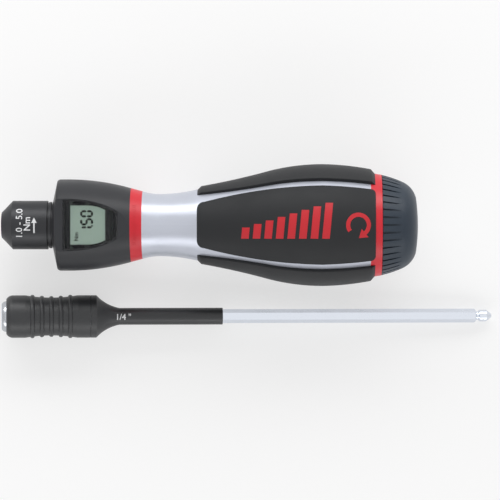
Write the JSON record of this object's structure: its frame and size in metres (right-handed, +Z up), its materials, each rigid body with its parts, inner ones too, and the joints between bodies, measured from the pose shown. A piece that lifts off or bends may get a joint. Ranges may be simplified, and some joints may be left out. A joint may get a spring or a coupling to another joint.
{
  "type": "torque screwdriver",
  "caption": "Adjustable torque screwdriver: display head, slip clutch, four-pad grip and turning cap, lying beside its interchangeable hexagon blade with a bit socket and release sleeve.",
  "frame": {"origin": "middle of the bounding box, on the surface that both tools lie on", "axes": "+X from the chuck to the cap, along both tools seen from above; +Z up, the way the display faces; +Y from the blade to the handle"},
  "size_m": [0.1636, 0.0576, 0.0381],
  "materials": {
    "blackened_steel": "black oxide, satin",
    "ground_steel": "ground",
    "bearing_bronze": "turned",
    "ball_steel": "polished",
    "spring_steel": "oiled wire",
    "head_plastic": "fine eroded texture",
    "window_acrylic": "clear, polished",
    "mask_print": "printed film",
    "lcd_glass": "reflective display",
    "board_laminate": "solder resist",
    "cell_steel": "stamped",
    "signal_red": "moulded, satin",
    "silver_body": "metallic, satin",
    "pad_rubber": "soft-touch, matt",
    "slate_cap": "moulded, satin",
    "sleeve_polymer": "moulded, satin",
    "shank_chrome": "satin chrome"
  },
  "bodies": {
    "handle": {"neck_ring": "blackened_steel", "front_bush": "bearing_bronze", "neck_bush": "bearing_bronze", "clutch_tube": "ground_steel", "rear_bush": "bearing_bronze", "thrust_washer": "ground_steel", "head_housing": "head_plastic", "display_window": "window_acrylic", "display_mask": "mask_print", "lcd_panel": "lcd_glass", "circuit_board": "board_laminate", "coin_cell": "cell_steel", "battery_contact": "cell_steel", "battery_cover": "head_plastic", "cover_screw": "ground_steel", "front_band": "signal_red", "handle_body": "silver_body", "display_pad": "pad_rubber", "back_pad": "pad_rubber", "left_pad": "pad_rubber", "right_pad": "pad_rubber", "rear_ring": "signal_red", "torque_spring": "spring_steel", "bit_socket": "ground_steel", "bit_magnet": "ground_steel", "lock_ball": "ball_steel", "snap_ring": "spring_steel", "sleeve_spring": "spring_steel", "shank_sheath": "sleeve_polymer", "blade_shank": "shank_chrome"},
    "chuck": {"chuck_nose": "blackened_steel", "drive_spindle": "ground_steel", "detent_ball": "ball_steel", "detent_ring": "spring_steel", "clutch_cam": "ground_steel", "cross_pin": "ground_steel"},
    "pressure_ring": {"pressure_ring": "ground_steel", "clutch_ball_1": "ball_steel", "clutch_ball_2": "ball_steel", "clutch_ball_3": "ball_steel", "clutch_ball_4": "ball_steel"},
    "spring_nut": {"spring_nut": "bearing_bronze", "position_magnet": "ground_steel"},
    "cap": {"adjusting_cap": "slate_cap", "adjusting_screw": "ground_steel"},
    "release_sleeve": {"release_sleeve": "sleeve_polymer"}
  },
  "joints": [
    {"name": "chuck_spin", "type": "hinge", "parent": "handle", "child": "chuck", "pos_m": [-0.08131, 0.00873, 0.01411], "axis": [0.9989, 0, 0.0472], "continuous": true},
    {"name": "ring_lift", "type": "slide", "parent": "handle", "child": "pressure_ring", "axis": [0.9989, 0, 0.0472], "range_m": [0, 0.001], "stiffness_N_per_m": 1000, "deforming": ["torque_spring"]},
    {"name": "cap_turn", "type": "hinge", "parent": "handle", "child": "cap", "pos_m": [0.04361, 0.00873, 0.02001], "axis": [-0.9989, 0, -0.0472], "range_deg": [-180, 1260]},
    {"name": "nut_slide", "type": "slide", "parent": "handle", "child": "spring_nut", "axis": [-0.9989, 0, -0.0472], "range_m": [-0.001, 0.007], "deforming": ["torque_spring"]},
    {"name": "sleeve_slide", "type": "slide", "parent": "handle", "child": "release_sleeve", "axis": [-0.9992, 0, 0.0391], "range_m": [0, 0.003], "stiffness_N_per_m": 300, "deforming": ["sleeve_spring"]}
  ],
  "couplings": [
    {"joint": "cap_turn", "follows": "nut_slide", "rad_per_m": 3141.6}
  ]
}
